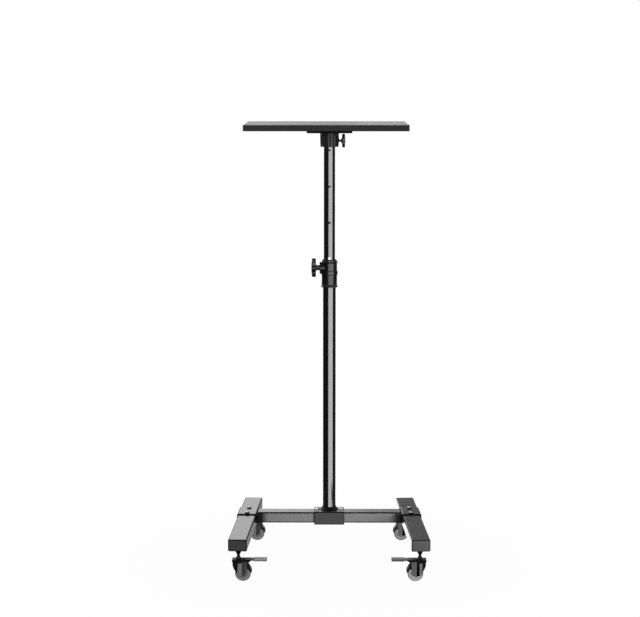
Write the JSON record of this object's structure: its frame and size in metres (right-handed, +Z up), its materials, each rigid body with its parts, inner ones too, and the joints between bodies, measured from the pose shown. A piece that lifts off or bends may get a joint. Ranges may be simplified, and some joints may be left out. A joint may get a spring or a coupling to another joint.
{
  "type": "rolling projector stand",
  "caption": "Rolling stand with a rectangular tray on a telescoping clamped mast, over an H-shaped tube base on braked swivel casters.",
  "frame": {"origin": "on the floor, under the middle of the stand's outer box", "axes": "+Z up, front towards -Y where the braked casters are, +X to the right seen from the front"},
  "size_m": [0.4868, 0.4228, 1.0942],
  "materials": {
    "frame_paint": "satin dark grey powder coat",
    "tube_gloss": "gloss black coat",
    "board": "black laminate, fine grain",
    "moulded_black": "fine moulded grain",
    "nylon": "smooth grey nylon",
    "wheel_rubber": "soft grey tread",
    "bright_steel": "bright zinc plate",
    "black_steel": "black oxide and enamel"
  },
  "bodies": {
    "base": {"cross_tube": "frame_paint", "mast_sleeve": "frame_paint", "left_sleeve_screw": "black_steel", "right_sleeve_screw": "black_steel", "mast_foot_ring": "frame_paint", "lower_tube": "tube_gloss", "collar": "moulded_black", "collar_bush": "nylon", "left_foot_tube": "frame_paint", "left_saddle": "frame_paint", "left_front_end_cap": "moulded_black", "left_front_saddle_screw": "black_steel", "left_rear_end_cap": "moulded_black", "left_rear_saddle_screw": "black_steel", "right_foot_tube": "frame_paint", "right_saddle": "frame_paint", "right_front_end_cap": "moulded_black", "right_front_saddle_screw": "black_steel", "right_rear_end_cap": "moulded_black", "right_rear_saddle_screw": "black_steel", "front_left_caster_stem": "black_steel", "rear_left_caster_stem": "black_steel", "front_right_caster_stem": "black_steel", "rear_right_caster_stem": "black_steel"},
    "mast_upper": {"upper_tube": "tube_gloss", "index_stud": "bright_steel", "guide_bush": "nylon"},
    "tray_head": {"tray_board": "board", "tray_plate": "black_steel", "tube_socket": "moulded_black", "front_left_tray_screw": "bright_steel", "front_right_tray_screw": "bright_steel", "rear_left_tray_screw": "bright_steel", "rear_right_tray_screw": "bright_steel"},
    "height_knob": {"height_knob": "moulded_black", "height_knob_stud": "bright_steel"},
    "socket_knob": {"socket_knob": "moulded_black", "socket_knob_stud": "bright_steel"},
    "front_left_swivel": {"front_left_caster_hood": "moulded_black", "front_left_caster_axle": "bright_steel"},
    "front_left_wheel": {"front_left_wheel_hub": "nylon", "front_left_wheel_tyre": "wheel_rubber"},
    "rear_left_swivel": {"rear_left_caster_hood": "moulded_black", "rear_left_caster_axle": "bright_steel"},
    "rear_left_wheel": {"rear_left_wheel_hub": "nylon", "rear_left_wheel_tyre": "wheel_rubber"},
    "front_right_swivel": {"front_right_caster_hood": "moulded_black", "front_right_caster_axle": "bright_steel"},
    "front_right_wheel": {"front_right_wheel_hub": "nylon", "front_right_wheel_tyre": "wheel_rubber"},
    "rear_right_swivel": {"rear_right_caster_hood": "moulded_black", "rear_right_caster_axle": "bright_steel"},
    "rear_right_wheel": {"rear_right_wheel_hub": "nylon", "rear_right_wheel_tyre": "wheel_rubber"},
    "front_left_pedal": {"front_left_brake_pedal": "moulded_black", "front_left_pedal_pad": "nylon"},
    "front_right_pedal": {"front_right_brake_pedal": "moulded_black", "front_right_pedal_pad": "nylon"}
  },
  "joints": [
    {"name": "height_slide", "type": "slide", "parent": "base", "child": "mast_upper", "axis": [0, 0, 1], "range_m": [-0.27, 0.09]},
    {"name": "tray_swivel", "type": "hinge", "parent": "mast_upper", "child": "tray_head", "pos_m": [0, 0.06141, 1.0509], "axis": [0, 0, 1], "continuous": true},
    {"name": "height_knob_turn", "type": "hinge", "parent": "base", "child": "height_knob", "pos_m": [0, 0.06141, 0.734], "axis": [-1, 0, 0], "range_deg": [0, 360]},
    {"name": "socket_knob_turn", "type": "hinge", "parent": "tray_head", "child": "socket_knob", "pos_m": [0, 0.06141, 1.0509], "axis": [1, 0, 0], "range_deg": [0, 360]},
    {"name": "front_left_swivel", "type": "hinge", "parent": "base", "child": "front_left_swivel", "pos_m": [-0.21943, -0.18525, 0.058], "axis": [0, 0, 1], "continuous": true},
    {"name": "front_left_roll", "type": "hinge", "parent": "front_left_swivel", "child": "front_left_wheel", "pos_m": [-0.20843, -0.18525, 0.019], "axis": [0, 1, 0], "continuous": true},
    {"name": "rear_left_swivel", "type": "hinge", "parent": "base", "child": "rear_left_swivel", "pos_m": [-0.20006, 0.18424, 0.058], "axis": [0, 0, 1], "continuous": true},
    {"name": "rear_left_roll", "type": "hinge", "parent": "rear_left_swivel", "child": "rear_left_wheel", "pos_m": [-0.18906, 0.18424, 0.019], "axis": [0, 1, 0], "continuous": true},
    {"name": "front_right_swivel", "type": "hinge", "parent": "base", "child": "front_right_swivel", "pos_m": [0.21943, -0.18525, 0.058], "axis": [0, 0, 1], "continuous": true},
    {"name": "front_right_roll", "type": "hinge", "parent": "front_right_swivel", "child": "front_right_wheel", "pos_m": [0.20843, -0.18525, 0.019], "axis": [0, 1, 0], "continuous": true},
    {"name": "rear_right_swivel", "type": "hinge", "parent": "base", "child": "rear_right_swivel", "pos_m": [0.20006, 0.18424, 0.058], "axis": [0, 0, 1], "continuous": true},
    {"name": "rear_right_roll", "type": "hinge", "parent": "rear_right_swivel", "child": "rear_right_wheel", "pos_m": [0.18906, 0.18424, 0.019], "axis": [0, 1, 0], "continuous": true},
    {"name": "front_left_brake", "type": "hinge", "parent": "front_left_swivel", "child": "front_left_pedal", "pos_m": [-0.19893, -0.18525, 0.047], "axis": [0, 1, 0], "range_deg": [0, 12]},
    {"name": "front_right_brake", "type": "hinge", "parent": "front_right_swivel", "child": "front_right_pedal", "pos_m": [0.19893, -0.18525, 0.047], "axis": [0, -1, 0], "range_deg": [0, 12]}
  ]
}
